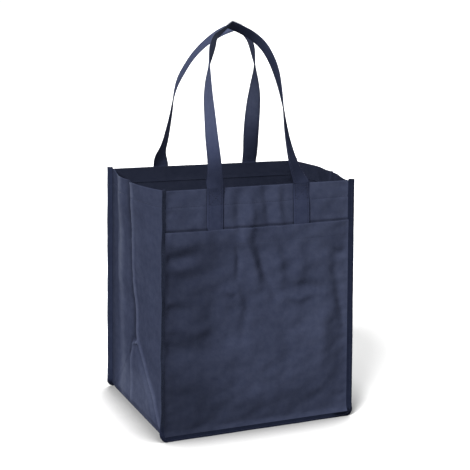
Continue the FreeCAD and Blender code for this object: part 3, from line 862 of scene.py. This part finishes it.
def stitch_rows(rows):
    """Short rounded stitches along lines of points, each bedded in the cloth at its ends."""
    points, faces = [], []
    for line, normals in rows:
        line, normals = np.asarray(line, float), np.asarray(normals, float)
        walked = length_along(line)
        start = STITCH_GAP
        while start + STITCH < walked[-1]:
            at = start + STITCH * np.array([0.0, 0.14, 0.5, 0.86, 1.0])
            places = np.stack([np.interp(at, walked, line[:, k]) for k in range(3)], axis=1)
            ups = np.stack([np.interp(at, walked, normals[:, k]) for k in range(3)], axis=1)
            sides = unit(np.cross(places[-1] - places[0], ups))
            lift = THREAD * np.array([-1.2, 0.35, 0.6, 0.35, -1.2])
            thick = THREAD * np.array([0.7, 1.0, 1.0, 1.0, 0.7])
            base = len(points)
            for k in range(RINGS):
                for turn in range(ROUND):
                    a = math.radians(360 / ROUND * turn)
                    points.append(places[k] + ups[k] * (lift[k] + thick[k] * math.sin(a))
                                  + sides[k] * thick[k] * math.cos(a))
            faces += [tuple(base + i for i in face) for face in tube_faces(RINGS, ROUND)]
            start += STITCH + STITCH_GAP
    return points, faces


def add_threads(name, stitches, body, node):
    """One piece for all the stitches that a CAD thread stands for."""
    points, faces = stitches
    return new_piece(name, points, faces, "thread", body, [node])


def row_on(place, first, last, fixed, out):
    """A line of points and normals on the cloth, from a place function of two coordinates."""
    run = np.linspace(first, last, 160)
    line = place(run, np.full_like(run, fixed), out)
    raised = place(run, np.full_like(run, fixed), out + 0.5 * mm)
    above = place(run, np.full_like(run, fixed + 1 * mm), out)
    ahead = np.gradient(line, axis=0)
    normal = np.cross(ahead, above - line)
    normal *= np.sign((normal * (raised - line)).sum(1, keepdims=True))
    return line, unit(normal)


def make_hem_stitches():
    """The rows of stitches that hold the hems, on both faces of the cloth round the mouth."""
    ends = HALF - 3 * mm
    for side in ("front", "back"):
        place = partial(on_panel, side)
        inner_face = -2 * EDGE_TURN - CLOTH + 0.45 * mm
        near, far = LEG - STRAP / 2 - 2 * mm, LEG + STRAP / 2 + 2 * mm
        rows = [row_on(place, a, b, HEM_LINE, 0.0) for a, b in ((-ends, -far), (-near, near), (far, ends))]
        line, normal = row_on(place, -ends, ends, HEM_LINE, inner_face)
        rows.append((line, -normal))
        add_threads(f"{side}_hem_stitches", stitch_rows(rows), "bag", f"{side}_hem_thread")
    for hand in ("left", "right"):
        place = partial(on_gusset, hand)
        end = DEPTH / 2 - 3 * mm
        line, normal = row_on(place, -end, end, HEM_LINE, -2 * EDGE_TURN + 0.3 * mm)
        rows = [row_on(place, -end, end, HEM_LINE, 0.0), (line, -normal)]
        add_threads(f"{hand}_gusset_hem_stitches", stitch_rows(rows), "bag", f"{hand}_hem_thread")

    def on_pocket(x, z, out):
        return on_panel("front", x, z, pocket_gap(x, z) + CLOTH + 0.2 * mm + out)
    rows = [row_on(on_pocket, -ends, ends, POCKET_HEM_LINE, 0.0)]
    add_threads("pocket_hem_stitches", stitch_rows(rows), "bag", "pocket_hem_thread")


# ---------- handles

# Each handle's middle line over the mouth: across, height and how far it has turned from facing
# outwards, in degrees, on the way up its left leg, over the top and down its right leg. The places
# started as the output of a scratch program, which carried points read off the photograph by eye into
# the bag's frame. Most were then moved, and a few are still where they were first put.
FRONT_ROUTE = [
    (-70.5, 404, 38), (-68.5, 414, 52), (-66, 432, 58), (-64, 464, 62), (-61, 499, 70), (-57, 537, 80),
    (-51, 562, 97), (-45, 580, 116), (-38, 597, 128), (-31, 609, 124), (-25, 615, 108), (-12, 623.5, 96),
    (-3, 630, 92), (-1.5, 631, 90), (1, 630.3, 90), (17, 623.5, 90), (34, 613.5, 90), (49.5, 598.5, 91),
    (58, 580, 92), (63, 559, 93), (65.5, 534, 102), (64.5, 505, 113), (62.5, 477, 124), (61.5, 450, 134),
    (63.5, 424, 147), (68, 406, 162),
]
BACK_ROUTE = [
    (-79, 410, 28), (-73, 434, 46), (-70, 475, 58), (-70, 516, 71), (-67, 540, 76), (-59, 558.5, 77),
    (-49, 578, 76), (-36, 595, 76), (-19, 610, 78), (-2, 620.5, 83), (14, 627, 88), (17, 628, 90),
    (20, 627, 88), (32, 619, 74), (45, 607.5, 60), (55.5, 590, 54), (63, 569, 68), (68.5, 548, 87),
    (72.5, 524, 110), (75, 490, 136), (80.5, 440, 160), (85, 412, 174),
]
ROUTES = {"front": FRONT_ROUTE, "back": BACK_ROUTE}
APEX_OUT = 12.6 * mm  # how far each handle's top is from the middle
TAIL_POINTS = 28  # along each tail
KEPT = 20  # points of each tail that stay as they are when the route is smoothed


def tail_line(side, hand):
    """The middle of a strap's tail, up the outside of the panel."""
    heights = np.linspace(TAIL[0][2], RIM + 1.5 * mm, TAIL_POINTS)
    return on_panel(side, np.full(TAIL_POINTS, TAIL_MIDDLE[side, hand]), heights, STRAP_THICK / 2 + TAIL_LIE)


def smoothed(points, passes):
    """A finer line through the same route, with its corners eased."""
    points = np.asarray(points, float)
    for _ in range(passes):
        a, b = points[:-1], points[1:]
        cut = np.stack([0.75 * a + 0.25 * b, 0.25 * a + 0.75 * b], axis=1)
        points = np.concatenate([points[:1], cut.reshape(-1, points.shape[1]), points[-1:]])
    return points


def handle_route(side):
    """Middle points, width directions and tangents of the whole strap, tail to tail."""
    sign = -1.0 if side == "front" else 1.0
    tails = {hand: tail_line(side, hand) for hand in ("left", "right")}
    top = max(station[1] for station in ROUTES[side]) * mm
    stations = []
    for x, z, turn in ROUTES[side]:
        height = (z * mm - FOLD_Z) / (top - FOLD_Z)
        start = tails["left" if x < 0 else "right"][-1][1]
        y = start + (sign * APEX_OUT - start) * max(height, 0)
        stations.append((x * mm, y, z * mm, turn))
    lean = math.atan2(abs(stations[0][1]) - APEX_OUT, top - FOLD_Z)
    outward = np.array([0.0, sign * math.cos(lean), math.sin(lean)])
    left = [(*p, 0.0) for p in tails["left"]]
    right = [(*p, 180.0) for p in tails["right"][::-1]]
    line = np.array(left + stations + right)
    fine = np.concatenate([line[:KEPT], smoothed(line[KEPT:-KEPT], 3), line[-KEPT:]])
    middle, turns = fine[:, :3], np.radians(fine[:, 3])
    width = np.cos(turns)[:, None] * np.array([1.0, 0, 0]) + np.sin(turns)[:, None] * outward
    tangent = unit(np.gradient(middle, axis=0))
    return middle, square_to(width, tangent), tangent


SECTION = 27  # points across a strap
TAIL_TONE = 0.80  # the sewn tails are darker than the free straps
# how far each arch is painted paler or deeper, as painted light and shade
ARCH_PAINTED_LIGHT = {
    ("front", "left"): 1.5,
    ("front", "right"): 0.72,
    ("back", "left"): 1.25,
    ("back", "right"): 1.75,
}


def strap_painted_shading(side, x, z):
    """Painted light and shade on the straps: each arch is painted paler or deeper by how the light falls on
    it, with painted shade at the front strap's bend and painted light on the back strap's left leg.
    """
    right = smooth(x / (24 * mm) + 0.5)
    arch = ARCH_PAINTED_LIGHT[side, "left"] * (1 - right) + ARCH_PAINTED_LIGHT[side, "right"] * right
    rise = smooth((z - FOLD_Z - 20 * mm) / (90 * mm))
    tone = TAIL_TONE + (arch - TAIL_TONE) * rise
    if side == "front":
        bend = bell(z - FOLD_Z - 14 * mm, 24 * mm)
        return tone * (1 - 0.5 * bend)
    bend = bell(z - FOLD_Z - 35 * mm, 45 * mm)
    return tone * (1 + 0.9 * bend * (1 - right))


def make_handle(side):
    """A whole strap with its two sewn tails, in one piece that rides on no body."""
    middle, width, tangent = handle_route(side)
    face = np.cross(width, tangent)  # off the outer face on the left leg and over the top
    if side == "back":
        face = -face
    walked = length_along(middle)
    half, thick = STRAP / 2, STRAP_THICK / 2
    section = []
    groove = 1 - STRAP_INSET / half
    for share in np.linspace(-1, 1, SECTION):
        edge = 1 - abs(share) ** 14
        pressed = 0.42 * bell(abs(share) - groove, 0.07)
        section.append((share * half, thick * max(0.2, edge - pressed)))
    section += [(reach, -depth) for reach, depth in reversed(section)]
    free = smooth((middle[:, 2] - FOLD_Z) / (15 * mm))  # the sewn tails lie flat
    buckle = 0.25 * mm * free * np.sin(walked / (14 * mm)) * np.sin(walked / (37 * mm) + 1)
    grid = []
    for reach, depth in section:
        waver = 0.35 * mm * free * np.sin(walked / (19 * mm) + reach / (5 * mm))
        off_face = depth + buckle + 0.3 * waver
        grid.append(middle + width * (reach + 0.2 * waver)[:, None] + face * off_face[:, None])
    grid = np.stack(grid, axis=1)
    rows, columns = grid.shape[:2]
    around = np.concatenate([np.linspace(0, STRAP, SECTION), np.linspace(STRAP, 2 * STRAP, SECTION)])
    uv = flat_uv(around, walked)
    name = f"{side}_handle"
    # painted light and shade of the strap
    tone = np.repeat(strap_painted_shading(side, middle[:, 0], middle[:, 2])[:, None], columns, axis=1)
    under = smooth((middle[:, 2] - middle[:, 2].max() + 60 * mm) / (40 * mm))
    tone[:, SECTION:] *= 1 + 0.6 * under[:, None]  # the inner face is painted paler at the top: painted light on the strap's underside
    strap = new_piece(f"{name}_cloth", grid.reshape(-1, 3), tube_faces(rows, columns), "strap_cloth", None,
                      [f"{side}_handle_strap", f"{side}_strap_tail_left", f"{side}_strap_tail_right"],
                      uv.reshape(-1, 2), tone.ravel())
    rows = []
    for sign in (-1, 1):
        for up in (1, -1):
            line = middle + width * (sign * (half - STRAP_INSET)) + face * (up * thick * 0.66)
            rows.append((line, face * up))
    stitches = add_threads(f"{name}_stitches", stitch_rows(rows), None, f"{side}_handle_thread")
    for piece in (strap, stitches):
        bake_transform(piece)


def on_tail(side, hand, x, z, out):
    """A place that far off the outer face of a strap's tail, which is flat across."""
    middle = TAIL_MIDDLE[side, hand]
    places = on_panel(side, np.full_like(x, middle), z, STRAP_THICK + TAIL_LIE + out)
    return places + (x - middle)[:, None] * np.array([1.0, 0, 0])


def make_box_stitches():
    """A sewn box with a cross in it on each tail, between the rim and the hem line."""
    inset = STRAP / 2 - 3.5 * mm
    top, foot = RIM - 3.5 * mm, HEM_LINE + 0.5 * mm
    for side in ("front", "back"):
        for hand in ("left", "right"):
            middle = TAIL_MIDDLE[side, hand]
            left, right = middle - inset, middle + inset
            corners = [(left, foot), (right, foot), (right, top), (left, top)]
            box = list(zip(corners, corners[1:] + corners[:1]))
            cross = [(corners[0], corners[2]), (corners[1], corners[3])]
            rows = []
            for (x0, z0), (x1, z1) in box + cross:
                x, z = np.linspace(x0, x1, 12), np.linspace(z0, z1, 12)
                rows.append((on_tail(side, hand, x, z, 0.0), np.tile(OUTWARDS[side], (12, 1))))
            add_threads(f"{side}_{hand}_box_stitches", stitch_rows(rows), "bag", f"{side}_box_stitch_{hand}")


# ---------- stage, light and camera

def make_stage():
    """A plain pale floor, with painted shade close to the bag from an ambient occlusion node."""
    reach = 40.0
    mesh = bpy.data.meshes.new("floor")
    corners = [(-reach, -reach, 0), (reach, -reach, 0), (reach, reach, 0), (-reach, reach, 0)]
    mesh.from_pydata(corners, [], [(0, 1, 2, 3)])
    floor = bpy.data.objects.new("floor", mesh)
    bpy.context.scene.collection.objects.link(floor)
    material, tree, shader = new_material("pale_floor", gloss=0.0)
    # the ambient occlusion paints shade on the floor close to the bag
    near = tree.nodes.new("ShaderNodeAmbientOcclusion")
    near.inputs["Distance"].default_value = 95 * mm
    shade = ramp(tree, near.outputs["AO"], [(0.5, (0.12,)), (1.0, (0.43,))])
    tree.links.new(shade, shader.inputs["Base Color"])
    shader.inputs["Roughness"].default_value = 1.0
    mesh.materials.append(material)
    floor.visible_diffuse = False


# Each light: where it comes from, its power and how many degrees across it is, as a softbox.
# The back light keeps the sides that the camera doesn't see out of the dark.
LIGHTS = {
    "key": (Vector((-0.60, -0.50, 0.62)), 13.6, 28),
    "fill": (Vector((0.55, -0.75, 0.35)), 1.2, 60),
    "back": (Vector((0.42, 0.85, 0.34)), 7.5, 60),
}
SKY = 1.05


def make_light():
    """Softboxes and a white room, which is a little darker below the floor's level."""
    world = bpy.data.worlds.new("studio")
    world.use_nodes = True
    tree = world.node_tree
    background = tree.nodes["Background"]
    background.inputs["Strength"].default_value = SKY
    height = tree.nodes.new("ShaderNodeSeparateXYZ")
    tree.links.new(tree.nodes.new("ShaderNodeTexCoord").outputs["Generated"], height.inputs["Vector"])
    level = math_node(tree, "ADD", height.outputs["Z"], 0.5)
    tree.links.new(ramp(tree, level, [(0.30, (0.75,)), (0.47, (1.0,))]), background.inputs["Color"])
    bpy.context.scene.world = world
    for name, (place, power, spread) in LIGHTS.items():
        light = bpy.data.lights.new(name, "SUN")
        light.energy = power
        light.angle = math.radians(spread)
        lamp = bpy.data.objects.new(name, light)
        lamp.rotation_euler = (-place).to_track_quat("-Z", "Y").to_euler()
        bpy.context.scene.collection.objects.link(lamp)


# The view is the result of a scratch program's fit to the seven corners of the bag that show.
VIEW_TURN = 21.55  # degrees from straight ahead, to the bag's left
VIEW_RISE = 11.67  # degrees above level
VIEW_AWAY = 1.829
VIEW_AIM = Vector((0.012, 0.0, 0.287))
LENS = 84.26  # mm, as is the sensor's width
SENSOR = 36.0


def make_camera():
    """The photograph's view, from the front left and a little above."""
    turn, rise = math.radians(VIEW_TURN), math.radians(VIEW_RISE)
    back = Vector((-math.sin(turn) * math.cos(rise), -math.cos(turn) * math.cos(rise), math.sin(rise)))
    data = bpy.data.cameras.new("camera")
    data.lens = LENS
    data.sensor_width = SENSOR
    camera = bpy.data.objects.new("camera", data)
    camera.location = VIEW_AIM + back * VIEW_AWAY
    camera.rotation_euler = (-back).to_track_quat("-Z", "Y").to_euler()
    bpy.context.scene.collection.objects.link(camera)
    bpy.context.scene.camera = camera


def dress_board():
    """The base board keeps its CAD shape, with a better material."""
    board = frame["nodes"]["base_board"]
    board.data.materials.clear()
    board.data.materials.append(MATERIALS["base_board"])


# ---------- build

make_camera()
make_gusset()
for name in ("front", "back"):
    make_panel(name)
    make_binding(name)
    make_handle(name)
make_pocket()
make_hem_stitches()
make_box_stitches()
dress_board()
make_stage()
make_light()
bpy.context.scene.view_settings.view_transform = "Standard"
